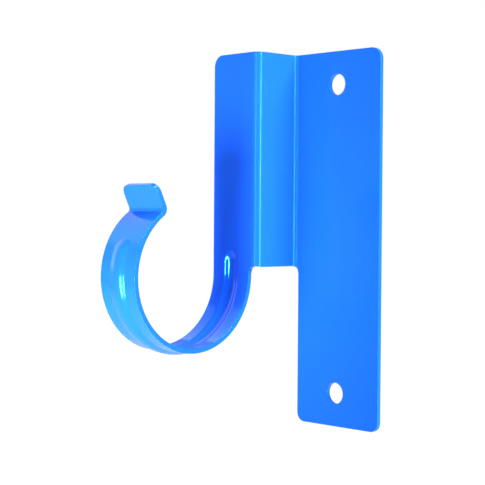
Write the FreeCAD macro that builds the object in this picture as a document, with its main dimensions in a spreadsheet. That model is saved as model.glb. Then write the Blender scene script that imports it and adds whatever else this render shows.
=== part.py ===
import FreeCAD, Part
import math
import os

import Sketcher

# Wall hanger for a pool vacuum hose, bent and pressed from one steel blank.
# Frame: X along the wall, the wall is the plane Y = 0 and the hook stands out towards -Y, +Z is up.
# The origin is on the wall, halfway between the two screw holes.

SIZES = [
    ("sheet_gauge", 1.5, "thickness of the blank"),
    ("plate_height", 127.0, "height of the wall plate, the web's and the strip's top edges with it"),
    ("plate_clear_width", 38.5, "web face to the plate's free edge, with the screw holes on its middle"),
    ("head_corner_radius", 4.0, "upper corner on the plate's free edge"),
    ("foot_corner_radius", 3.2, "both lower corners of the plate"),
    ("hole_diameter", 7.2, "clearance for a wall screw"),
    ("hole_spacing", 104.5, "between the two screw holes"),
    ("bend_radius", 1.5, "inside radius of the two bends along the web"),
    ("web_height", 73.0, "top edge down to the notch"),
    ("notch_radius", 2.5, "inner corners of the notch"),
    ("strip_offset", 20.0, "wall to the front face of the strip"),
    ("strip_width", 17.75, "width of the strip, the hook and the lip"),
    ("strip_setback", 1.25, "bend line to the strip's edge beside the notch"),
    ("strip_corner_radius", 4.0, "upper outer corner of the strip"),
    ("hook_radius", 24.0, "inside radius of the hook"),
    ("hook_drop", 12.4, "middle of the plate down to the hook's centre"),
    ("hook_sweep", 236.0, "degrees of arc, from the strip to the lip's bend"),
    ("lip_bend_radius", 1.2, "inside radius of the lip's bend"),
    ("lip_lean", 25.0, "degrees that the lip leans out from upright"),
    ("lip_length", 8.0, "flat of the lip above its bend"),
    ("lip_corner_radius", 3.0, "both corners of the lip"),
    ("rib_depth", 1.0, "how far the rib is pressed out of the strip"),
    ("rib_groove_radius", 5.5, "radius of the rib's section on the inside of the hook"),
    ("rib_rise", 4.4, "straight run of the rib above the hook's centre"),
    ("rib_stop", 35.5, "degrees between the rib's end and the lip's bend"),
]

# How far a cutting sketch reaches past the metal.
CUT_MARGIN = 5.0

# How near two places are taken as the same one.
CLOSE = 0.01

# Sketch numbers: the points of a line or arc, then the two axes and the point where they cross.
START, END, CENTRE = range(1, 4)
H_AXIS, V_AXIS = range(-1, -3, -1)
ORIGIN = (H_AXIS, START)

doc = FreeCAD.newDocument("hose_hanger")
sheet = doc.addObject("Spreadsheet::Sheet", "sizes")
for row, (alias, value, note) in enumerate(SIZES, start=1):
    sheet.set(f"A{row}", alias)
    sheet.set(f"B{row}", str(value))
    sheet.set(f"C{row}", note)
    sheet.setAlias(f"B{row}", alias)
doc.recompute()


def size(alias):
    """Value of one size in the sheet."""
    return float(getattr(sheet, alias))


def origin_plane(body, role):
    """Origin plane of a body, found by its role."""
    return next(plane for plane in body.Origin.OriginFeatures if plane.Role == role)


def attach(body, item, role):
    """Put a sketch or primitive on one of its body's origin planes."""
    item.AttachmentSupport = [(origin_plane(body, role), "")]
    item.MapMode = "FlatFace"


def new_sketch(body, name, role):
    """Empty sketch on an origin plane of the body."""
    sketch = body.newObject("Sketcher::SketchObject", name)
    attach(body, sketch, role)
    return sketch


def line(sketch, start, end, construction=False):
    """Straight edge between two (x, y) points of the sketch."""
    segment = Part.LineSegment(FreeCAD.Vector(*start, 0), FreeCAD.Vector(*end, 0))
    return sketch.addGeometry(segment, construction)


def arc(sketch, centre, radius, first, last):
    """Arc that runs anticlockwise from the angle first to the angle last, in degrees."""
    circle = Part.Circle(FreeCAD.Vector(*centre, 0), FreeCAD.Vector(0, 0, 1), radius)
    return sketch.addGeometry(Part.ArcOfCircle(circle, math.radians(first), math.radians(last)))


def polar(centre, radius, angle):
    """Point at an angle in degrees round a centre."""
    turn = math.radians(angle)
    return (centre[0] + radius * math.cos(turn), centre[1] + radius * math.sin(turn))


def relate(sketch, kind, *items):
    """Constraint without a value."""
    return sketch.addConstraint(Sketcher.Constraint(kind, *items))


def measure(sketch, name, kind, items, formula, value):
    """Constraint whose value follows a formula of the sheet's sizes."""
    number = sketch.addConstraint(Sketcher.Constraint(kind, *items, value))
    sketch.renameConstraint(number, name)
    sketch.setExpression(f"Constraints.{name}", formula)


def edge_names(feature, wanted):
    """Names of a feature's edges that the test accepts."""
    return [f"Edge{i}" for i, edge in enumerate(feature.Shape.Edges, start=1) if wanted(edge)]


def crosses_at(edge, x, z):
    """Whether a straight edge runs along Y through the point x, z."""
    ends = [vertex.Point for vertex in edge.Vertexes]
    return len(ends) == 2 and all(math.hypot(p.x - x, p.z - z) < CLOSE for p in ends)


def ends_lip(edge):
    """Whether an edge is one of the two short corners at the lip's tip, out past the hook's arc."""
    ends = [vertex.Point for vertex in edge.Vertexes]
    reach = size("hook_radius") + gauge + size("lip_length")
    past = all(math.hypot(p.y - hook_y, p.z - hook_z) > reach - gauge for p in ends)
    return past and abs(edge.Length - gauge) < CLOSE and abs(ends[0].x - ends[-1].x) < CLOSE


def round_edges(body, name, wanted, formula):
    """Fillet on the edges of the body's present shape that the test accepts."""
    doc.recompute()
    base = body.Tip
    names = edge_names(base, wanted)
    if not names:
        raise RuntimeError(f"{name}: no edge to round")
    fillet = body.newObject("PartDesign::Fillet", name)
    fillet.Base = (base, names)
    fillet.setExpression("Radius", formula)
    return fillet


def cut(body, sketch, name):
    """Pocket that goes right through the body, both ways from its sketch."""
    doc.recompute()
    before = body.Tip.Shape.Volume
    pocket = body.newObject("PartDesign::Pocket", name)
    pocket.Profile = sketch
    pocket.Type = "ThroughAll"
    pocket.SideType = "Symmetric"
    doc.recompute()
    if pocket.Shape.Volume >= before:
        raise RuntimeError(f"{name}: nothing was cut")
    return pocket


# Places worked out from the sizes.
gauge = size("sheet_gauge")
bend = size("bend_radius")
half_height = size("plate_height") / 2
plate_edge_x = size("plate_clear_width") / 2
web_x = -plate_edge_x
foot_edge_x = web_x + bend
strip_near_x = web_x - bend - gauge - size("strip_setback")
strip_far_x = strip_near_x - size("strip_width")
strip_y = -size("strip_offset")
hook_y = strip_y - size("hook_radius")
hook_z = -size("hook_drop")
notch_z = half_height - size("web_height")

STRIP_NEAR = "(sizes.plate_clear_width / 2 + sizes.bend_radius + sizes.sheet_gauge + sizes.strip_setback)"
NOTCH_DROP = "(sizes.web_height - sizes.plate_height / 2)"


def draw_section(sketch):
    """Z section of plate, web and strip, seen from above."""
    outer = bend + gauge
    plate_bend = (web_x + bend, -outer)
    strip_bend = (web_x - outer, strip_y + outer)
    back = line(sketch, (plate_edge_x, 0), (plate_bend[0], 0))
    plate_outer = arc(sketch, plate_bend, outer, 90, 180)
    web_left = line(sketch, (web_x - gauge, -outer), (web_x - gauge, strip_bend[1]))
    strip_inner = arc(sketch, strip_bend, bend, 270, 360)
    strip_back = line(sketch, (strip_bend[0], strip_y + gauge), (strip_far_x, strip_y + gauge))
    strip_end = line(sketch, (strip_far_x, strip_y + gauge), (strip_far_x, strip_y))
    strip_front = line(sketch, (strip_far_x, strip_y), (strip_bend[0], strip_y))
    strip_outer = arc(sketch, strip_bend, outer, 270, 360)
    web_right = line(sketch, (web_x, strip_bend[1]), (web_x, -outer))
    plate_inner = arc(sketch, plate_bend, bend, 90, 180)
    plate_front = line(sketch, (plate_bend[0], -gauge), (plate_edge_x, -gauge))
    plate_end = line(sketch, (plate_edge_x, -gauge), (plate_edge_x, 0))

    for level in (back, strip_back, strip_front, plate_front):
        relate(sketch, "Horizontal", level)
    for upright in (web_left, strip_end, web_right, plate_end):
        relate(sketch, "Vertical", upright)
    for one, its_end, other, other_end in (
        (back, END, plate_outer, START),
        (plate_outer, END, web_left, START),
        (web_left, END, strip_inner, END),
        (strip_inner, START, strip_back, START),
        (strip_front, END, strip_outer, START),
        (strip_outer, END, web_right, START),
        (web_right, END, plate_inner, END),
        (plate_inner, START, plate_front, START),
    ):
        relate(sketch, "Tangent", one, its_end, other, other_end)
    for one, other in (
        (strip_back, strip_end),
        (strip_end, strip_front),
        (plate_front, plate_end),
        (plate_end, back),
    ):
        relate(sketch, "Coincident", one, END, other, START)
    relate(sketch, "Coincident", plate_inner, CENTRE, plate_outer, CENTRE)
    relate(sketch, "Coincident", strip_inner, CENTRE, strip_outer, CENTRE)
    relate(sketch, "PointOnObject", back, START, H_AXIS)
    measure(sketch, "plate_bend", "Radius", (plate_inner,), "sizes.bend_radius", bend)
    measure(
        sketch, "plate_bend_back", "Radius", (plate_outer,),
        "sizes.bend_radius + sizes.sheet_gauge", outer,
    )
    measure(sketch, "strip_bend", "Radius", (strip_inner,), "sizes.bend_radius", bend)
    half_width = "sizes.plate_clear_width / 2"
    measure(sketch, "free_edge", "DistanceX", (*ORIGIN, back, START), half_width, plate_edge_x)
    measure(sketch, "web_face", "DistanceX", (web_right, END, *ORIGIN), half_width, plate_edge_x)
    measure(sketch, "strip_face", "DistanceY", (strip_front, START, *ORIGIN), "sizes.strip_offset", -strip_y)
    measure(
        sketch, "strip_edge", "DistanceX", (strip_end, START, *ORIGIN),
        f"{STRIP_NEAR} + sizes.strip_width", -strip_far_x,
    )


def draw_slot(sketch):
    """Notch below the web, seen from the front, open at the foot."""
    radius = size("notch_radius")
    foot = -half_height - CUT_MARGIN
    left = line(sketch, (strip_near_x, foot), (strip_near_x, notch_z - radius))
    left_corner = arc(sketch, (strip_near_x + radius, notch_z - radius), radius, 90, 180)
    top = line(sketch, (strip_near_x + radius, notch_z), (foot_edge_x - radius, notch_z))
    right_corner = arc(sketch, (foot_edge_x - radius, notch_z - radius), radius, 0, 90)
    right = line(sketch, (foot_edge_x, notch_z - radius), (foot_edge_x, foot))
    bottom = line(sketch, (foot_edge_x, foot), (strip_near_x, foot))
    for level in (top, bottom):
        relate(sketch, "Horizontal", level)
    for upright in (left, right):
        relate(sketch, "Vertical", upright)
    relate(sketch, "Tangent", left, END, left_corner, END)
    relate(sketch, "Tangent", left_corner, START, top, START)
    relate(sketch, "Tangent", top, END, right_corner, END)
    relate(sketch, "Tangent", right_corner, START, right, START)
    relate(sketch, "Coincident", right, END, bottom, START)
    relate(sketch, "Coincident", bottom, END, left, START)
    relate(sketch, "Equal", left_corner, right_corner)
    measure(sketch, "corner", "Radius", (left_corner,), "sizes.notch_radius", radius)
    measure(sketch, "roof", "DistanceY", (top, START, *ORIGIN), NOTCH_DROP, -notch_z)
    measure(
        sketch, "foot", "DistanceY", (bottom, START, *ORIGIN),
        f"sizes.plate_height / 2 + {CUT_MARGIN}", -foot,
    )
    measure(sketch, "strip_side", "DistanceX", (left, START, *ORIGIN), STRIP_NEAR, -strip_near_x)
    measure(
        sketch, "plate_side", "DistanceX", (right, START, *ORIGIN),
        "sizes.plate_clear_width / 2 - sizes.bend_radius", -foot_edge_x,
    )


def draw_trim(sketch):
    """Straight strip below the hook's centre, seen from the front, which the hook replaces."""
    foot = -half_height - CUT_MARGIN
    far = strip_far_x - CUT_MARGIN
    roof = line(sketch, (far, hook_z), (strip_near_x, hook_z))
    near = line(sketch, (strip_near_x, hook_z), (strip_near_x, foot))
    floor = line(sketch, (strip_near_x, foot), (far, foot))
    outside = line(sketch, (far, foot), (far, hook_z))
    for one, other in ((roof, near), (near, floor), (floor, outside), (outside, roof)):
        relate(sketch, "Coincident", one, END, other, START)
    for level in (roof, floor):
        relate(sketch, "Horizontal", level)
    for upright in (near, outside):
        relate(sketch, "Vertical", upright)
    measure(sketch, "hook_centre", "DistanceY", (roof, START, *ORIGIN), "sizes.hook_drop", -hook_z)
    measure(
        sketch, "foot", "DistanceY", (floor, START, *ORIGIN),
        f"sizes.plate_height / 2 + {CUT_MARGIN}", -foot,
    )
    measure(sketch, "strip_side", "DistanceX", (near, START, *ORIGIN), STRIP_NEAR, -strip_near_x)
    measure(
        sketch, "far_side", "DistanceX", (outside, START, *ORIGIN),
        f"{STRIP_NEAR} + sizes.strip_width + {CUT_MARGIN}", -far,
    )


def draw_hook(sketch):
    """Hook and lip, seen from the side: an arc of the sheet and a flat bent back from its end."""
    radius = size("hook_radius")
    small = size("lip_bend_radius")
    centre = (hook_y, hook_z)
    stop = 360 - size("hook_sweep")
    lean = 90 + size("lip_lean")
    lip_centre = polar(centre, radius + gauge + small, stop)
    lip_turn = lean - 90
    inner_foot = polar(lip_centre, small + gauge, lip_turn)
    outer_foot = polar(lip_centre, small, lip_turn)
    inner_tip = polar(inner_foot, size("lip_length"), lean)
    outer_tip = polar(outer_foot, size("lip_length"), lean)

    root = line(sketch, (strip_y, hook_z), (strip_y + gauge, hook_z))
    outer = arc(sketch, centre, radius + gauge, stop, 360)
    outer_bend = arc(sketch, lip_centre, small, stop - 180, lip_turn)
    outer_lip = line(sketch, outer_foot, outer_tip)
    tip = line(sketch, outer_tip, inner_tip)
    inner_lip = line(sketch, inner_tip, inner_foot)
    inner_bend = arc(sketch, lip_centre, small + gauge, stop - 180, lip_turn)
    inner = arc(sketch, centre, radius, stop, 360)
    spoke = line(sketch, centre, lip_centre, construction=True)

    relate(sketch, "Horizontal", root)
    relate(sketch, "Coincident", root, START, inner, END)
    relate(sketch, "Coincident", root, END, outer, END)
    relate(sketch, "Tangent", outer, START, outer_bend, START)
    relate(sketch, "Tangent", outer_bend, END, outer_lip, START)
    relate(sketch, "Coincident", outer_lip, END, tip, START)
    relate(sketch, "Coincident", tip, END, inner_lip, START)
    relate(sketch, "Tangent", inner_lip, END, inner_bend, END)
    relate(sketch, "Tangent", inner_bend, START, inner, START)
    relate(sketch, "Coincident", spoke, START, inner, CENTRE)
    relate(sketch, "Coincident", spoke, END, inner_bend, CENTRE)
    relate(sketch, "Coincident", outer, CENTRE, inner, CENTRE)
    relate(sketch, "Coincident", outer_bend, CENTRE, inner_bend, CENTRE)
    relate(sketch, "Horizontal", inner, CENTRE, root, START)
    relate(sketch, "Perpendicular", tip, inner_lip)
    measure(sketch, "inside", "Radius", (inner,), "sizes.hook_radius", radius)
    measure(sketch, "outside", "Radius", (outer,), "sizes.hook_radius + sizes.sheet_gauge", radius + gauge)
    measure(sketch, "lip_bend", "Radius", (outer_bend,), "sizes.lip_bend_radius", small)
    measure(sketch, "lip_flat", "Distance", (inner_lip,), "sizes.lip_length", size("lip_length"))
    measure(
        sketch, "out", "DistanceX", (inner, CENTRE, *ORIGIN),
        "sizes.strip_offset + sizes.hook_radius", -hook_y,
    )
    measure(sketch, "down", "DistanceY", (inner, CENTRE, *ORIGIN), "sizes.hook_drop", -hook_z)
    measure(
        sketch, "sweep", "Angle", (H_AXIS, START, spoke, START),
        "(360 - sizes.hook_sweep) * 1 deg", math.radians(stop),
    )
    measure(
        sketch, "lean", "Angle", (H_AXIS, START, outer_lip, START),
        "(90 + sizes.lip_lean) * 1 deg", math.radians(lean),
    )


def draw_hook_inside(sketch):
    """Clear space inside the hook, seen from the side, squared off above against the strip."""
    radius = size("hook_radius")
    centre = (hook_y, hook_z)
    round_side = arc(sketch, centre, radius, 90, 360)
    front = line(sketch, (strip_y, hook_z), (strip_y, hook_z + radius))
    roof = line(sketch, (strip_y, hook_z + radius), (hook_y, hook_z + radius))
    relate(sketch, "Tangent", round_side, END, front, START)
    relate(sketch, "Coincident", front, END, roof, START)
    relate(sketch, "Tangent", roof, END, round_side, START)
    relate(sketch, "Vertical", front)
    relate(sketch, "Horizontal", roof)
    measure(sketch, "inside", "Radius", (round_side,), "sizes.hook_radius", radius)
    measure(
        sketch, "out", "DistanceX", (round_side, CENTRE, *ORIGIN),
        "sizes.strip_offset + sizes.hook_radius", -hook_y,
    )
    measure(sketch, "down", "DistanceY", (round_side, CENTRE, *ORIGIN), "sizes.hook_drop", -hook_z)


def draw_holes(sketch):
    """Two screw holes on the plate's middle, seen from the front."""
    bore = size("hole_diameter")
    height = size("hole_spacing") / 2
    for name, side in (("upper", 1), ("lower", -1)):
        centre = FreeCAD.Vector(0, side * height, 0)
        hole = sketch.addGeometry(Part.Circle(centre, FreeCAD.Vector(0, 0, 1), bore / 2))
        span = (*ORIGIN, hole, CENTRE) if side > 0 else (hole, CENTRE, *ORIGIN)
        relate(sketch, "PointOnObject", hole, CENTRE, V_AXIS)
        measure(sketch, f"{name}_bore", "Diameter", (hole,), "sizes.hole_diameter", bore)
        measure(sketch, f"{name}_height", "DistanceY", span, "sizes.hole_spacing / 2", height)


def add_rib_run(body, action, radius):
    """Round bar along the rib's path, added or cut: a straight run, an arc and a ball at each end."""
    path = "(sizes.hook_radius + sizes.rib_depth - sizes.rib_groove_radius)"
    middle = f"-({STRIP_NEAR} + sizes.strip_width / 2)"
    out = "-(sizes.strip_offset + sizes.hook_radius)"
    run = body.newObject(f"PartDesign::{action}Cylinder", f"{action}Run")
    attach(body, run, "XY_Plane")
    run.setExpression("Radius", radius)
    run.setExpression("Height", "sizes.rib_rise")
    run.setExpression(".AttachmentOffset.Base.x", middle)
    run.setExpression(".AttachmentOffset.Base.y", f"{out} + {path}")
    run.setExpression(".AttachmentOffset.Base.z", "-sizes.hook_drop")

    ring = body.newObject(f"PartDesign::{action}Torus", f"{action}Ring")
    attach(body, ring, "YZ_Plane")
    turned_over = FreeCAD.Rotation(FreeCAD.Vector(1, 0, 0), 180)
    ring.AttachmentOffset = FreeCAD.Placement(FreeCAD.Vector(), turned_over)
    ring.setExpression("Radius1", path)
    ring.setExpression("Radius2", radius)
    ring.setExpression("Angle3", "sizes.hook_sweep - sizes.rib_stop")
    ring.setExpression(".AttachmentOffset.Base.x", out)
    ring.setExpression(".AttachmentOffset.Base.y", "-sizes.hook_drop")
    ring.setExpression(".AttachmentOffset.Base.z", middle)

    top = body.newObject(f"PartDesign::{action}Sphere", f"{action}Top")
    attach(body, top, "XY_Plane")
    top.setExpression("Radius", radius)
    top.setExpression(".AttachmentOffset.Base.x", middle)
    top.setExpression(".AttachmentOffset.Base.y", f"{out} + {path}")
    top.setExpression(".AttachmentOffset.Base.z", "sizes.rib_rise - sizes.hook_drop")

    turn = "((sizes.hook_sweep - sizes.rib_stop) * 1 deg)"
    tip = body.newObject(f"PartDesign::{action}Sphere", f"{action}Tip")
    attach(body, tip, "XY_Plane")
    tip.setExpression("Radius", radius)
    tip.setExpression(".AttachmentOffset.Base.x", middle)
    tip.setExpression(".AttachmentOffset.Base.y", f"{out} + {path} * cos({turn})")
    tip.setExpression(".AttachmentOffset.Base.z", f"-sizes.hook_drop - {path} * sin({turn})")


hanger = doc.addObject("PartDesign::Body", "hose_hanger")
hanger.Label = "hose_hanger"

section = new_sketch(hanger, "section", "XY_Plane")
draw_section(section)
blank = hanger.newObject("PartDesign::Pad", "plate_web_strip")
blank.Profile = section
blank.SideType = "Symmetric"
blank.setExpression("Length", "sizes.plate_height")

slot = new_sketch(hanger, "slot", "XZ_Plane")
draw_slot(slot)
cut(hanger, slot, "notch")

trim = new_sketch(hanger, "trim", "XZ_Plane")
draw_trim(trim)
cut(hanger, trim, "strip_trim")

hook_side = new_sketch(hanger, "hook_side", "YZ_Plane")
draw_hook(hook_side)
hook_side.setExpression(".AttachmentOffset.Base.z", f"-({STRIP_NEAR} + sizes.strip_width)")
hook = hanger.newObject("PartDesign::Pad", "hook")
hook.Profile = hook_side
hook.setExpression("Length", "sizes.strip_width")

add_rib_run(hanger, "Additive", "sizes.rib_groove_radius + sizes.sheet_gauge")
hook_inside = new_sketch(hanger, "hook_inside", "YZ_Plane")
draw_hook_inside(hook_inside)
cut(hanger, hook_inside, "hook_clearance")
add_rib_run(hanger, "Subtractive", "sizes.rib_groove_radius")

holes = new_sketch(hanger, "holes", "XZ_Plane")
draw_holes(holes)
cut(hanger, holes, "screw_holes")

round_edges(
    hanger, "head_corner",
    lambda edge: crosses_at(edge, plate_edge_x, half_height),
    "sizes.head_corner_radius",
)
round_edges(
    hanger, "foot_corners",
    lambda edge: crosses_at(edge, plate_edge_x, -half_height) or crosses_at(edge, foot_edge_x, -half_height),
    "sizes.foot_corner_radius",
)
round_edges(
    hanger, "strip_corner",
    lambda edge: crosses_at(edge, strip_far_x, half_height),
    "sizes.strip_corner_radius",
)
round_edges(hanger, "lip_corners", ends_lip, "sizes.lip_corner_radius")

doc.recompute()
for item in doc.Objects:
    if any(word in state for state in item.State for word in ("Invalid", "Error")):
        raise RuntimeError(f"{item.Name}: {item.State}")

if hanger.Shape.isNull() or not hanger.Shape.isValid():
    raise RuntimeError(f"{hanger.Label}: bad shape")
os.makedirs("parts", exist_ok=True)
hanger.Shape.exportStep(f"parts/{hanger.Label}.step")
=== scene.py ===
"""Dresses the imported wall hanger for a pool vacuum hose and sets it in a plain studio.

The hanger is one steel blank: a wall plate, a web, a strip, a ribbed hook and a flared lip. It is shaped here the
way the press shapes it, in millimetres, as the front face of the sheet, and gets its thickness and its eased, coated
edges afterwards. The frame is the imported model's: X along the wall, +Y into the wall, +Z up.
"""

from __future__ import annotations

import logging
import math
from dataclasses import dataclass, field
from enum import Enum
from typing import Callable, Union

import bmesh
import bpy
from bmesh.types import BMEdge, BMesh, BMFace, BMVert
from mathutils import Matrix, Vector

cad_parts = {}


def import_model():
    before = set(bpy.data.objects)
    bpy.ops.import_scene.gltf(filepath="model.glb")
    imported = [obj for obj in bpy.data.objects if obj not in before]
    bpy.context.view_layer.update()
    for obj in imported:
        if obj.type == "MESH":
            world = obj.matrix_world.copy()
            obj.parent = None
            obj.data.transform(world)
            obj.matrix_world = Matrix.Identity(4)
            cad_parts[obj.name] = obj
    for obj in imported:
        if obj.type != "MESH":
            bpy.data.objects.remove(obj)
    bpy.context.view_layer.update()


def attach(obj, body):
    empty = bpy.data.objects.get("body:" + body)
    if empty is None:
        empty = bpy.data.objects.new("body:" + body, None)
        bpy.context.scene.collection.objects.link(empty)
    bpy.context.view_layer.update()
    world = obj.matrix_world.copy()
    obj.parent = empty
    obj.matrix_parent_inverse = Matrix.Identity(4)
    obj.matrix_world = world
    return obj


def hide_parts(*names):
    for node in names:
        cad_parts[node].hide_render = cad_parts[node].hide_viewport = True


LOG = logging.getLogger("hose_hanger")
# One millimetre in metres.
MILLIMETRE = 0.001
# How near two places are taken as the same one, in millimetres.
NEAR = 0.02
# The way the plate and the strip face.
FRONT = Vector((0.0, -1.0, 0.0))


class Axis(Enum):
    """Directions that the sheet is extruded or bent about."""

    X = Vector((1.0, 0.0, 0.0))
    Y = Vector((0.0, 1.0, 0.0))
    Z = Vector((0.0, 0.0, 1.0))


class Sheet:
    """Front face of the blank as it is drawn, extruded and bent, in millimetres."""

    def __init__(self) -> None:
        """Start with an empty mesh."""
        self.mesh: BMesh = bmesh.new()

    def point(self, place: Vector) -> BMVert:
        """Put one loose point.

        Args:
            place: where it goes.

        Returns:
            The new point.
        """
        return bmesh.ops.create_vert(self.mesh, co=place)["vert"][0]

    def draw_on(self, start: BMVert, shift: Vector) -> BMVert:
        """Draw a straight line on from a point.

        Args:
            start: the point the line leaves.
            shift: the line's run.

        Returns:
            The line's far end.
        """
        made = bmesh.ops.extrude_vert_indiv(self.mesh, verts=[start])
        bmesh.ops.translate(self.mesh, verts=made["verts"], vec=shift)
        return made["verts"][0]

    def round_on(self, start: BMVert, centre: Vector, axis: Vector, degrees: float, steps: int) -> BMVert:
        """Draw an arc on from a point.

        Args:
            start: the point the arc leaves.
            centre: the arc's centre.
            axis: the direction it turns about.
            degrees: how far it turns.
            steps: how many chords it has.

        Returns:
            The arc's far end.
        """
        made = bmesh.ops.spin(
            self.mesh, geom=[start], cent=centre, axis=axis, angle=math.radians(degrees), steps=steps,
            use_merge=False, use_duplicate=False,
        )
        return next(item for item in made["geom_last"] if isinstance(item, BMVert))

    def join(self, one: BMVert, other: BMVert) -> BMEdge:
        """Close an outline between two points."""
        return self.mesh.edges.new((one, other))

    def pull(self, edges: list[BMEdge], shift: Vector) -> list[BMEdge]:
        """Extrude a chain of edges in a straight line.

        Args:
            edges: the chain.
            shift: the extrusion's run.

        Returns:
            The chain's new place.
        """
        made = bmesh.ops.extrude_edge_only(self.mesh, edges=edges)["geom"]
        moved = {item for item in made if isinstance(item, BMVert)}
        bmesh.ops.translate(self.mesh, verts=list(moved), vec=shift)
        return [item for item in made if isinstance(item, BMEdge) and set(item.verts) <= moved]

    def bend(self, edges: list[BMEdge], centre: Vector, degrees: float, steps: int) -> list[BMEdge]:
        """Extrude a chain of edges round an axis that runs along X.

        Args:
            edges: the chain.
            centre: a point on the axis.
            degrees: how far the sheet bends.
            steps: how many facets the bend has.

        Returns:
            The chain's new place.
        """
        points = list({point for edge in edges for point in edge.verts})
        made = bmesh.ops.spin(
            self.mesh, geom=points + edges, cent=centre, axis=Axis.X.value, angle=math.radians(degrees),
            steps=steps, use_merge=False, use_duplicate=False,
        )
        return [item for item in made["geom_last"] if isinstance(item, BMEdge)]

    def edges_where(self, wanted: Callable[[Vector], bool]) -> list[BMEdge]:
        """Edges whose two ends both pass a test."""
        return [edge for edge in self.mesh.edges if all(wanted(point.co) for point in edge.verts)]

    def fill(self, outline: list[BMEdge], facing: Vector, border: float) -> None:
        """Fill a flat panel, and run an even border round it and round its holes.

        Args:
            outline: every edge round the panel and round its holes.
            facing: the way the panel faces.
            border: width of the border.
        """
        made = bmesh.ops.triangle_fill(self.mesh, use_beauty=True, use_dissolve=False, edges=outline, normal=facing)
        faces = [item for item in made["geom"] if isinstance(item, BMFace)]
        bmesh.ops.recalc_face_normals(self.mesh, faces=faces)
        if sum((face.normal for face in faces), Vector()).dot(facing) < 0:
            bmesh.ops.reverse_faces(self.mesh, faces=faces)
        bmesh.ops.inset_region(
            self.mesh, faces=faces, thickness=border, depth=0.0, use_boundary=True, use_even_offset=True,
        )


@dataclass
class WallPlate:
    """Flat plate that is screwed to the wall.

    Lengths are in millimetres.
    """

    left: float = -17.75
    right: float = 19.25
    front: float = -1.5
    half_height: float = 63.5
    head_corner: float = 4.0
    foot_corner: float = 3.2
    hole_height: float = 52.25
    hole_radius: float = 3.6
    hole_chords: int = 64
    corner_chords: int = 10

    def build(self, sheet: Sheet, bend_line: list[BMVert], border: float) -> None:
        """Draw the plate's outline on from the web's bend, cut its holes and fill it.

        Args:
            sheet: the blank.
            bend_line: points where the web's bend meets the plate, from the top to the notch.
            border: width of the even border that its edges are eased in.
        """
        front = self.front
        top = bend_line[0]
        turn = -Axis.Y.value
        down = -self.half_height + self.foot_corner - bend_line[-1].co.z
        foot = sheet.draw_on(bend_line[-1], Vector((0, 0, down)))
        centre = Vector((self.left + self.foot_corner, front, -self.half_height + self.foot_corner))
        foot = sheet.round_on(foot, centre, turn, 90, self.corner_chords)
        far = self.right - self.foot_corner
        foot = sheet.draw_on(foot, Vector((far - foot.co.x, 0, 0)))
        low = Vector((far, front, -self.half_height + self.foot_corner))
        side = sheet.round_on(foot, low, turn, 90, self.corner_chords)
        high = Vector((self.right - self.head_corner, front, self.half_height - self.head_corner))
        side = sheet.draw_on(side, Vector((0, 0, high.z - low.z)))
        head = sheet.round_on(side, high, turn, 90, self.corner_chords)
        sheet.join(head, top)
        for side_sign in (1, -1):
            place = Matrix.Translation(Vector((0, front, side_sign * self.hole_height)))
            bmesh.ops.create_circle(
                sheet.mesh, cap_ends=False, radius=self.hole_radius, segments=self.hole_chords,
                matrix=place @ Matrix.Rotation(math.radians(90), 4, "X"),
            )
        outline = sheet.edges_where(lambda p: abs(p.y - front) < NEAR and p.x > self.left - NEAR)
        sheet.fill(outline, FRONT, border)


@dataclass
class Web:
    """Web that stands out from the plate, with a bend at either side and the notch below it.

    Lengths are in millimetres.
    """

    strip_edge: float = -23.5
    face: float = -19.25
    bend_inside: float = 1.5
    bend_outside: float = 3.0
    plate_front: float = -1.5
    strip_front: float = -20.0
    notch_top: float = -9.5
    notch_corner: float = 2.5
    notch_left: float = -23.5
    notch_right: float = -17.75
    crowded_from: float = -4.0
    rim: float = 0.6
    bend_chords: int = 12
    setback_shares: tuple[float, ...] = (0.27, 0.31, 0.42)

    def notch_height(self, x: float) -> float:
        """Height of the notch's edge at a place across it."""
        inset = max(self.notch_left + self.notch_corner - x, x - self.notch_right + self.notch_corner, 0.0)
        drop = self.notch_corner - math.sqrt(max(self.notch_corner**2 - inset**2, 0.0))
        return self.notch_top - drop

    def build(self, sheet: Sheet, top: float, levels: list[float]) -> None:
        """Draw the bent section at the top and pull it down to the notch.

        Args:
            sheet: the blank.
            top: height of the top edge.
            levels: heights of the rows below it, the last where the notch's sides begin.
        """
        start = sheet.point(Vector((self.strip_edge, self.strip_front, top)))
        setback = self.face - self.bend_outside - self.strip_edge
        point = start
        for share in self.setback_shares:
            point = sheet.draw_on(point, Vector((setback * share, 0, 0)))
        out = self.strip_front + self.bend_outside
        centre = Vector((self.face - self.bend_outside, out, top))
        point = sheet.round_on(point, centre, Axis.Z.value, 90, self.bend_chords)
        root = self.plate_front - self.bend_inside
        point = sheet.draw_on(point, Vector((0, root - out, 0)))
        centre = Vector((self.face + self.bend_inside, root, top))
        sheet.round_on(point, centre, Axis.Z.value, -90, self.bend_chords)
        chain = list(sheet.mesh.edges)
        height = top
        for level in levels:
            chain = sheet.pull(chain, Vector((0, 0, level - height)))
            height = level
        for point in sheet.mesh.verts:
            if point.co.z < self.crowded_from - NEAR:
                share = (point.co.z - self.crowded_from) / (height - self.crowded_from)
                point.co.z = self.crowded_from + share * (self.notch_height(point.co.x) - self.crowded_from)


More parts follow.
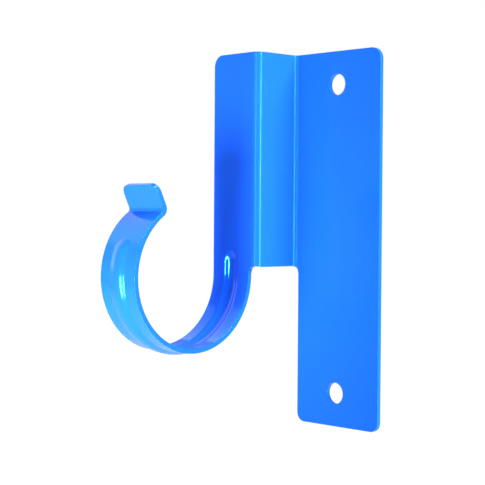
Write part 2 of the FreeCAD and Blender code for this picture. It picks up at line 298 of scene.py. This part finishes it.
@dataclass
class Strip:
    """Flat strip in front of the wall that runs down into the hook.

    Lengths are in millimetres.
    """

    near: float = -23.5
    far: float = -41.25
    front: float = -20.0
    top: float = 63.5
    corner: float = 4.0
    panel_foot: float = 6.0
    hook_start: float = -12.4
    corner_chords: int = 10

    def build(self, sheet: Sheet, columns: list[float], border: float) -> list[BMEdge]:
        """Pull the pressed part across from the web and fill the plain part above it.

        Args:
            sheet: the blank, with the web on it.
            columns: places across the strip, from the near edge to the far one.
            border: width of the even border that its edges are eased in.

        Returns:
            The strip's lower edge, which the hook goes on from.
        """
        front = self.front

        def on_near_edge(place: Vector) -> bool:
            """Whether a place is on the near edge, no higher than the pressed part."""
            on_edge = abs(place.x - self.near) < NEAR and abs(place.y - front) < NEAR
            return on_edge and place.z < self.panel_foot + NEAR

        lowest = min((p for p in sheet.mesh.verts if on_near_edge(p.co)), key=lambda p: p.co.z)
        sheet.draw_on(lowest, Vector((0, 0, self.hook_start - lowest.co.z)))
        chain = sheet.edges_where(on_near_edge)
        for here, there in zip(columns, columns[1:]):
            chain = sheet.pull(chain, Vector((there - here, 0, 0)))

        corner_point = max({p for edge in chain for p in edge.verts}, key=lambda p: p.co.z)
        high = self.top - self.corner
        side = sheet.draw_on(corner_point, Vector((0, 0, high - corner_point.co.z)))
        centre = Vector((self.far + self.corner, front, high))
        head = sheet.round_on(side, centre, Axis.Y.value, 90, self.corner_chords)
        first = next(
            p for p in sheet.mesh.verts
            if abs(p.co.x - self.near) < NEAR and abs(p.co.z - self.top) < NEAR and abs(p.co.y - front) < NEAR
        )
        sheet.join(first, head)
        outline = sheet.edges_where(
            lambda p: abs(p.y - front) < NEAR and p.x < self.near + NEAR and p.z > self.panel_foot - NEAR
        )
        sheet.fill(outline, FRONT, border)
        return sheet.edges_where(lambda p: abs(p.z - self.hook_start) < NEAR and abs(p.y - front) < NEAR)


@dataclass
class Hook:
    """Open hook that curls out from the strip's foot, and the lip bent back at its end.

    Lengths are in millimetres, turns in degrees.
    """

    near: float = -23.5
    far: float = -41.25
    centre_out: float = -44.0
    centre_height: float = -12.4
    inside: float = 24.0
    sweep: float = 236.0
    gauge: float = 1.5
    lip_bend: float = 1.2
    lip_turn: float = 81.0
    lip_lean: float = 25.0
    lip_length: float = 8.0
    lip_corner: float = 3.0
    facets: int = 118
    lip_facets: int = 12
    corner_chords: int = 9

    def arc_place(self, radius: float, turned: float) -> Vector:
        """Place on a circle round the hook's centre, by how far the hook has turned there."""
        angle = math.radians(-turned)
        out = self.centre_out + radius * math.cos(angle)
        return Vector((0, out, self.centre_height + radius * math.sin(angle)))

    def build(self, sheet: Sheet, strip_end: list[BMEdge], border: float) -> None:
        """Bend the hook and the lip on from the strip.

        Args:
            sheet: the blank.
            strip_end: the strip's lower edge.
            border: width of the even border that the lip's edges are eased in.
        """
        centre = Vector((0, self.centre_out, self.centre_height))
        chain = sheet.bend(strip_end, centre, -self.sweep, self.facets)
        lip_centre = self.arc_place(self.inside + self.gauge + self.lip_bend, self.sweep)
        chain = sheet.bend(chain, lip_centre, self.lip_turn, self.lip_facets)

        lean = math.radians(90 + self.lip_lean)
        up = Vector((0, math.cos(lean), math.sin(lean)))
        facing = up.cross(Axis.X.value)
        ends = sorted({p for edge in chain for p in edge.verts}, key=lambda p: p.co.x)
        straight = self.lip_length - self.lip_corner
        left = sheet.draw_on(ends[0], up * straight)
        right = sheet.draw_on(ends[-1], up * straight)
        inward = Axis.X.value * self.lip_corner
        left_centre = left.co + inward
        right_centre = right.co - inward
        axis = Axis.X.value.cross(up)
        made = set(chain)
        top_left = sheet.round_on(left, left_centre, axis, -90, self.corner_chords)
        top_right = sheet.round_on(right, right_centre, axis, 90, self.corner_chords)
        sheet.join(top_left, top_right)
        root = ends[0].co.copy()
        outline = sheet.edges_where(
            lambda p: abs((p - root).dot(facing)) < NEAR and (p - root).dot(up) > -NEAR
            and (p - root).dot(up) < self.lip_length + NEAR
        )
        outline = [edge for edge in outline if edge in made or len(edge.link_faces) == 0]
        sheet.fill(outline, facing, border)


@dataclass
class RibPress:
    """Die that presses the stiffening rib out of the strip and the hook.

    Lengths are in millimetres, turns in degrees.
    """

    middle: float = -32.375
    groove: float = 5.5
    depth: float = 1.0
    ease: float = 4.5
    top: float = -8.0
    stop_turn: float = 200.5
    hook: Hook = field(default_factory=Hook)

    @property
    def reach(self) -> float:
        """How far from the rib's middle line the sheet starts to dip."""
        level = self.groove - self.depth
        return math.sqrt((self.groove + self.ease) ** 2 - (level + self.ease) ** 2)

    def dip(self, away: float) -> float:
        """How deep the sheet is pressed at a distance from the rib's middle line."""
        level = self.groove - self.depth
        if away <= self.reach * self.groove / (self.groove + self.ease):
            return math.sqrt(self.groove**2 - away**2) - level
        if away < self.reach:
            return self.ease - math.sqrt(self.ease**2 - (self.reach - away) ** 2)
        return 0.0

    def press(self, sheet: Sheet) -> None:
        """Push the sheet's points away from the hook's inside along the rib.

        Args:
            sheet: the blank, with the strip and the hook on it.
        """
        hook = self.hook
        for point in sheet.mesh.verts:
            across = point.co.x - self.middle
            if abs(across) >= self.reach:
                continue
            if point.co.y > hook.centre_out and point.co.z >= hook.centre_height - NEAR:
                past = max(point.co.z - self.top, 0.0)
                if abs(point.co.y - hook.centre_out - hook.inside) < NEAR:
                    point.co.y += self.dip(math.hypot(across, past))
                continue
            spoke = Vector((0, point.co.y - hook.centre_out, point.co.z - hook.centre_height))
            if abs(spoke.length - hook.inside) > NEAR:
                continue
            turned = math.degrees(math.atan2(-spoke.z, spoke.y)) % 360
            past = max(math.radians(turned - self.stop_turn) * hook.inside, 0.0)
            point.co += spoke.normalized() * self.dip(math.hypot(across, past))


class Signal:
    """Output of a shader node, with arithmetic that adds the Math nodes it stands for."""

    def __init__(self, graph: "Graph", socket: bpy.types.NodeSocket) -> None:
        """Wrap a socket of the graph."""
        self.graph = graph
        self.socket = socket

    def _math(self, operation: str, first: "Operand", second: "Operand") -> "Signal":
        """Add one Math node and return its result."""
        return self.graph.node("ShaderNodeMath", {"operation": operation}, {0: first, 1: second})

    def __add__(self, other: "Operand") -> "Signal":
        """Sum."""
        return self._math("ADD", self, other)

    def __radd__(self, other: "Operand") -> "Signal":
        """Sum, number first."""
        return self._math("ADD", other, self)

    def __sub__(self, other: "Operand") -> "Signal":
        """Difference."""
        return self._math("SUBTRACT", self, other)

    def __rsub__(self, other: "Operand") -> "Signal":
        """Difference, number first."""
        return self._math("SUBTRACT", other, self)

    def __mul__(self, other: "Operand") -> "Signal":
        """Product."""
        return self._math("MULTIPLY", self, other)

    def __rmul__(self, other: "Operand") -> "Signal":
        """Product, number first."""
        return self._math("MULTIPLY", other, self)


Operand = Union[Signal, float]
Value = Union[Signal, float, tuple, Vector]


class Graph:
    """Node tree of a material or the world."""

    def __init__(self, tree: bpy.types.NodeTree) -> None:
        """Take over a node tree and empty it."""
        self.tree = tree
        tree.nodes.clear()

    def node(
        self,
        kind: str,
        settings: dict[str, object] | None = None,
        values: dict[int | str, Value] | None = None,
        output: int | str = 0,
    ) -> Signal:
        """Add one node.

        Args:
            kind: the node's type.
            settings: its properties, which are set first.
            values: what its sockets hold or are linked to.
            output: which of its results is wanted.

        Returns:
            That result.
        """
        made = self.tree.nodes.new(kind)
        for name, value in (settings or {}).items():
            setattr(made, name, value)
        for name, value in (values or {}).items():
            if isinstance(value, Signal):
                self.tree.links.new(value.socket, made.inputs[name])
            else:
                made.inputs[name].default_value = value
        return Signal(self, made.outputs[output]) if len(made.outputs) else Signal(self, None)


@dataclass(frozen=True)
class PowderCoat:
    """Glossy blue powder coat: the colour sits in a clear resin that levels into a faint orange peel.

    Noise scales are repeats in a metre, and the relief's height is in metres.
    """

    name: str = "blue_powder_coat"
    deep: tuple[float, float, float, float] = (0.009, 0.120, 0.960, 1.0)
    light: tuple[float, float, float, float] = (0.012, 0.134, 0.990, 1.0)
    sheen: tuple[float, float, float, float] = (0.0, 0.16, 1.0, 1.0)
    roughness: float = 0.15
    index: float = 2.0
    level: float = 1.0
    clear_coat: float = 0.09
    clear_roughness: float = 0.06
    cloud_scale: float = 38.0
    peel_scale: float = 950.0
    grain_scale: float = 4200.0
    coarse_share: float = 0.8
    cloud_dulling: float = 0.05
    grain_dulling: float = 0.04
    relief_strength: float = 0.12
    relief_height: float = 0.00006

    def material(self) -> bpy.types.Material:
        """Make the finish as a material.

        Returns:
            The material.
        """
        made = bpy.data.materials.new(self.name)
        made.use_nodes = True
        graph = Graph(made.node_tree)
        place = graph.node("ShaderNodeTexCoord", output="Object")

        def noise(scale: float, detail: float) -> Signal:
            """Noise of one size on the object's own coordinates."""
            return graph.node(
                "ShaderNodeTexNoise", {"noise_dimensions": "3D"},
                {"Vector": place, "Scale": scale, "Detail": detail, "Roughness": 0.5},
            )

        def blend(coarse: Signal) -> Signal:
            """Coarse noise with some of the fine grain in it."""
            return coarse * self.coarse_share + grain * (1.0 - self.coarse_share)

        peel = noise(self.peel_scale, 1.0)
        grain = noise(self.grain_scale, 2.0)
        cloud = noise(self.cloud_scale, 2.0)
        # A mix node has one set of sockets per data type: 6 and 7 take the two colours, output 2 gives the result.
        colour = graph.node(
            "ShaderNodeMix", {"data_type": "RGBA"}, {0: blend(cloud), 6: self.deep, 7: self.light}, 2
        )
        dulling = (cloud - 0.5) * self.cloud_dulling + (grain - 0.5) * self.grain_dulling
        relief = graph.node(
            "ShaderNodeBump", {},
            {"Strength": self.relief_strength, "Distance": self.relief_height, "Height": blend(peel)},
            "Normal",
        )
        shader = graph.node(
            "ShaderNodeBsdfPrincipled", {},
            {
                "Base Color": colour,
                "Roughness": dulling + self.roughness,
                "Normal": relief,
                "Specular IOR Level": self.level,
                "Specular Tint": self.sheen,
                "IOR": self.index,
                "Coat Weight": self.clear_coat,
                "Coat Roughness": self.clear_roughness,
            },
        )
        graph.node("ShaderNodeOutputMaterial", {}, {"Surface": shader})
        return made


@dataclass
class HoseHanger:
    """The whole hanger, pressed from one coated blank.

    Lengths are in millimetres. Columns are counted or placed from the rib's middle line outwards.
    """

    plate: WallPlate = field(default_factory=WallPlate)
    web: Web = field(default_factory=Web)
    strip: Strip = field(default_factory=Strip)
    hook: Hook = field(default_factory=Hook)
    rib: RibPress = field(default_factory=RibPress)
    coat: PowderCoat = field(default_factory=PowderCoat)
    gauge: float = 1.5
    eased_edge: float = 0.32
    eased_chords: int = 3
    sharp_angle: float = 50.0
    merge_distance: float = 0.001
    border: float = 0.55
    row: float = 0.55
    rib_columns: int = 12
    rib_margin: float = 1.04
    flank_columns: tuple[float, float] = (5.2, 6.6)

    def rows(self) -> list[float]:
        """Heights of the rows of facets below the top edge, from the top down to the notch."""
        pressed_from = self.strip.panel_foot
        notch_foot = self.web.notch_top - self.web.notch_corner
        count = round((pressed_from - notch_foot) / self.row)
        step = (pressed_from - notch_foot) / count
        fine = [pressed_from - step * (i + 1) for i in range(count)]
        return [self.strip.top - self.web.rim, pressed_from, *fine]

    def columns(self) -> list[float]:
        """Places of the columns of facets across the strip and the hook, from the near edge to the far one."""
        half = (self.strip.near - self.strip.far) / 2
        pressed = self.rib.reach * self.rib_margin
        inner = [pressed * i / self.rib_columns for i in range(self.rib_columns + 1)]
        outer = [*inner, *self.flank_columns, half - self.border, half]
        shifts = [-shift for shift in reversed(outer[1:])] + outer
        return [self.rib.middle - shift for shift in shifts]

    def build(self) -> bpy.types.Object:
        """Make the hanger's mesh, give the sheet its thickness and dress it.

        Returns:
            The finished object.
        """
        sheet = Sheet()
        self.web.build(sheet, self.strip.top, self.rows())
        strip_end = self.strip.build(sheet, self.columns(), self.border)
        self.hook.build(sheet, strip_end, self.border)
        bend_line = sorted(
            (p for p in sheet.mesh.verts
             if abs(p.co.x - self.plate.left) < NEAR and abs(p.co.y - self.plate.front) < NEAR),
            key=lambda p: -p.co.z,
        )
        self.plate.build(sheet, bend_line, self.border)
        self.rib.press(sheet)
        return self.finish(sheet)

    def finish(self, sheet: Sheet) -> bpy.types.Object:
        """Turn the drawn sheet into a coated solid.

        Args:
            sheet: the shaped blank.

        Returns:
            The finished object.
        """
        mesh = sheet.mesh
        bmesh.ops.remove_doubles(mesh, verts=mesh.verts, dist=self.merge_distance)
        bmesh.ops.recalc_face_normals(mesh, faces=mesh.faces)
        facing = sum((face.normal * face.calc_area() for face in mesh.faces), Vector())
        if facing.dot(FRONT) < 0:
            bmesh.ops.reverse_faces(mesh, faces=mesh.faces)
        bmesh.ops.scale(mesh, vec=(MILLIMETRE,) * 3, verts=mesh.verts)
        for face in mesh.faces:
            face.smooth = True
        data = bpy.data.meshes.new("coated_hanger")
        mesh.to_mesh(data)
        mesh.free()
        made = bpy.data.objects.new("coated_hanger", data)
        bpy.context.scene.collection.objects.link(made)
        gauge = made.modifiers.new("gauge", "SOLIDIFY")
        gauge.thickness = self.gauge * MILLIMETRE
        gauge.offset = -1.0
        gauge.use_even_offset = True
        gauge.use_quality_normals = True
        eased = made.modifiers.new("eased_edges", "BEVEL")
        eased.width = self.eased_edge * MILLIMETRE
        eased.segments = self.eased_chords
        eased.limit_method = "ANGLE"
        eased.angle_limit = math.radians(self.sharp_angle)
        eased.harden_normals = True
        data.materials.append(self.coat.material())
        return made


@dataclass(frozen=True)
class Softbox:
    """Rectangular lamp, which can be left out of the light that surfaces scatter or of what they mirror.

    Lengths are in metres, power in watts, the spread of its beam in degrees.
    """

    name: str
    place: tuple[float, float, float]
    target: tuple[float, float, float]
    size: tuple[float, float]
    power: float
    spread: float = 180.0
    lights: bool = True
    mirrored: bool = True

    def build(self) -> None:
        """Put the lamp in the scene."""
        data = bpy.data.lights.new(self.name, "AREA")
        data.shape = "RECTANGLE"
        data.size, data.size_y = self.size
        data.energy = self.power
        data.spread = math.radians(self.spread)
        lamp = bpy.data.objects.new(self.name, data)
        lamp.location = self.place
        aim = Vector(self.target) - Vector(self.place)
        lamp.rotation_mode = "QUATERNION"
        lamp.rotation_quaternion = aim.to_track_quat("-Z", "Y")
        lamp.visible_camera = False
        lamp.visible_diffuse = self.lights
        lamp.visible_glossy = self.mirrored
        bpy.context.scene.collection.objects.link(lamp)


@dataclass
class Studio:
    """Plain pale floor, white surround, soft lamps and the camera.

    Lengths are in metres, apart from the camera's lens and sensor in millimetres, and angles in degrees. The surround
    has one strength as light on the object and another where the object mirrors it. The floor that the camera sees is
    whitened by the first share near the object, where it keeps the shadow, and by the second one further away.
    """

    floor_height: float = -0.26
    floor_size: float = 6.0
    floor_grey: float = 0.8
    floor_glow: float = 1.06
    whitened: tuple[float, float] = (0.5, 1.0)
    whitened_at: tuple[float, float] = (0.45, 0.95)
    surround: float = 0.17
    mirrored: float = 0.45
    softboxes: tuple[Softbox, ...] = (
        Softbox(
            "hook_softbox", place=(-0.030, -0.186, -0.067), target=(-0.03, -0.068, -0.012), size=(0.048, 0.12),
            power=0.135, spread=70.0, mirrored=False,
        ),
        Softbox(
            "glint_softbox", place=(-0.118, -0.425, -0.100), target=(-0.03, -0.068, -0.012), size=(0.04, 0.16),
            power=2.6, lights=False,
        ),
        Softbox(
            "front_softbox", place=(0.270, -1.170, 0.100), target=(-0.01, -0.03, 0.03), size=(0.16, 0.45), power=1.8
        ),
        Softbox(
            "right_softbox", place=(1.035, 0.090, 0.600), target=(-0.01, -0.03, 0.0), size=(0.5, 0.5), power=36.0
        ),
        Softbox(
            "edge_softbox", place=(1.182, -0.208, 0.050), target=(-0.01, -0.03, 0.03), size=(0.12, 0.45), power=6.0
        ),
        Softbox(
            "left_softbox", place=(-1.096, -0.038, 0.488), target=(-0.03, -0.06, 0.0), size=(1.1, 1.0), power=4.0
        ),
        Softbox(
            "top_softbox", place=(0.270, 0.155, 1.160), target=(-0.01, -0.03, 0.0), size=(0.5, 0.5), power=6.0
        ),
    )
    camera_place: tuple[float, float, float] = (0.31441, -0.33963, 0.00825)
    azimuth: float = 46.84
    elevation: float = 1.19
    roll: float = 0.39
    lens: float = 101.1
    sensor_width: float = 36.0
    clip: tuple[float, float] = (0.01, 50.0)

    def build(self) -> None:
        """Make the surround, the floor, the lamps and the camera."""
        self.build_surround()
        self.build_floor()
        for softbox in self.softboxes:
            softbox.build()
        self.build_camera()

    def build_surround(self) -> None:
        """White world: full white where the camera sees it, fainter in mirrors and faintest as light."""
        world = bpy.data.worlds.new("studio")
        bpy.context.scene.world = world
        world.use_nodes = True
        graph = Graph(world.node_tree)
        seen = graph.node("ShaderNodeLightPath", output="Is Camera Ray")
        mirrored = graph.node("ShaderNodeLightPath", output="Is Glossy Ray")
        strength = seen * (1.0 - self.surround) + mirrored * (self.mirrored - self.surround) + self.surround
        light = graph.node("ShaderNodeBackground", {}, {"Color": (1, 1, 1, 1), "Strength": strength})
        graph.node("ShaderNodeOutputWorld", {}, {"Surface": light})

    def build_floor(self) -> None:
        """Pale floor that keeps the object's shadow and turns to plain white away from it."""
        mesh = bmesh.new()
        bmesh.ops.create_grid(
            mesh, x_segments=1, y_segments=1, size=self.floor_size / 2,
            matrix=Matrix.Translation((0, 0, self.floor_height)),
        )
        data = bpy.data.meshes.new("floor")
        mesh.to_mesh(data)
        mesh.free()
        floor = bpy.data.objects.new("floor", data)
        bpy.context.scene.collection.objects.link(floor)
        paint = bpy.data.materials.new("pale_floor")
        paint.use_nodes = True
        graph = Graph(paint.node_tree)
        shaded = graph.node("ShaderNodeBsdfDiffuse", {}, {"Color": (self.floor_grey,) * 3 + (1,)})
        white = graph.node("ShaderNodeEmission", {}, {"Color": (1, 1, 1, 1), "Strength": self.floor_glow})
        seen = graph.node("ShaderNodeLightPath", output="Is Camera Ray")
        place = graph.node("ShaderNodeTexCoord", output="Object")
        away = graph.node("ShaderNodeVectorMath", {"operation": "LENGTH"}, {0: place}, "Value")
        near, far = self.whitened_at
        least, most = self.whitened
        share = graph.node(
            "ShaderNodeMapRange", {"interpolation_type": "SMOOTHSTEP"},
            {"Value": away, "From Min": near, "From Max": far, "To Min": least, "To Max": most},
        )
        mixed = graph.node("ShaderNodeMixShader", {}, {0: seen * share, 1: shaded, 2: white})
        graph.node("ShaderNodeOutputMaterial", {}, {"Surface": mixed})
        data.materials.append(paint)

    def build_camera(self) -> None:
        """Camera at the photograph's viewing angle."""
        data = bpy.data.cameras.new("camera")
        data.sensor_width = self.sensor_width
        data.lens = self.lens
        data.clip_start, data.clip_end = self.clip
        camera = bpy.data.objects.new("camera", data)
        camera.location = self.camera_place
        turn = Matrix.Rotation(math.radians(self.azimuth), 3, "Z")
        tilt = Matrix.Rotation(math.radians(90 - self.elevation), 3, "X")
        roll = Matrix.Rotation(math.radians(self.roll), 3, "Z")
        camera.rotation_euler = (turn @ tilt @ roll).to_euler()
        bpy.context.scene.collection.objects.link(camera)
        bpy.context.scene.camera = camera


def main() -> None:
    """Load the frame, dress the hanger and light it."""
    logging.basicConfig(level=logging.INFO, format="%(message)s")
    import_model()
    hanger = HoseHanger().build()
    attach(hanger, "root")
    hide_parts("hose_hanger")
    LOG.info("coated hanger: %d faces before its thickness", len(hanger.data.polygons))
    Studio().build()
    bpy.context.scene.view_settings.view_transform = "Standard"


if __name__ == "__main__":
    main()
